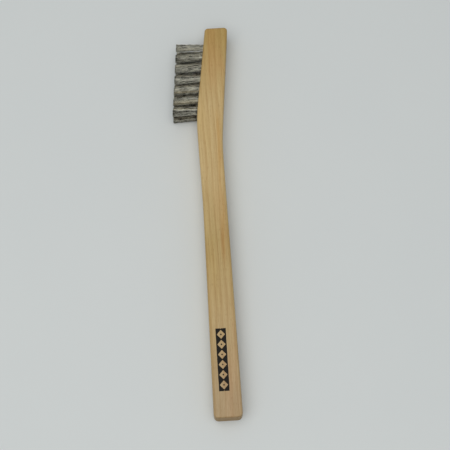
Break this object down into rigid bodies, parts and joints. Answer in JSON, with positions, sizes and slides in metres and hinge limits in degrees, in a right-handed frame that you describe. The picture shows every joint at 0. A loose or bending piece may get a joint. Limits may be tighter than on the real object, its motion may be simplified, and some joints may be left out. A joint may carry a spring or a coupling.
{
  "type": "wire scratch brush",
  "caption": "Small wooden-handled wire scratch brush, its head bent back from a plain squared grip, with stapled tufts of fine stainless wire for cleaning metal and welds.",
  "frame": {"origin": "bottom centre of the brush's box as it lies on its side, on the plane of the side face that it rests on", "axes": "+Y along the grip towards the head, bristles pointing along -X and square to the grip, +Z across the handle's width"},
  "size_m": [0.029, 0.1904, 0.0127],
  "materials": {
    "handle_wood": "satin",
    "bristle_wire": "satin",
    "anchor_wire": "satin"
  },
  "bodies": {
    "root": {"handle": "handle_wood", "tuft_row1_col1": "bristle_wire", "tuft_row1_col2": "bristle_wire", "tuft_row1_col3": "bristle_wire", "tuft_row1_col4": "bristle_wire", "tuft_row1_col5": "bristle_wire", "tuft_row1_col6": "bristle_wire", "tuft_row1_col7": "bristle_wire", "tuft_row2_col1": "bristle_wire", "tuft_row2_col2": "bristle_wire", "tuft_row2_col3": "bristle_wire", "tuft_row2_col4": "bristle_wire", "tuft_row2_col5": "bristle_wire", "tuft_row2_col6": "bristle_wire", "tuft_row3_col1": "bristle_wire", "tuft_row3_col2": "bristle_wire", "tuft_row3_col3": "bristle_wire", "tuft_row3_col4": "bristle_wire", "tuft_row3_col5": "bristle_wire", "tuft_row3_col6": "bristle_wire", "tuft_row3_col7": "bristle_wire", "anchor_row1_col1": "anchor_wire", "anchor_row1_col2": "anchor_wire", "anchor_row1_col3": "anchor_wire", "anchor_row1_col4": "anchor_wire", "anchor_row1_col5": "anchor_wire", "anchor_row1_col6": "anchor_wire", "anchor_row1_col7": "anchor_wire", "anchor_row2_col1": "anchor_wire", "anchor_row2_col2": "anchor_wire", "anchor_row2_col3": "anchor_wire", "anchor_row2_col4": "anchor_wire", "anchor_row2_col5": "anchor_wire", "anchor_row2_col6": "anchor_wire", "anchor_row3_col1": "anchor_wire", "anchor_row3_col2": "anchor_wire", "anchor_row3_col3": "anchor_wire", "anchor_row3_col4": "anchor_wire", "anchor_row3_col5": "anchor_wire", "anchor_row3_col6": "anchor_wire", "anchor_row3_col7": "anchor_wire"}
  },
  "joints": []
}
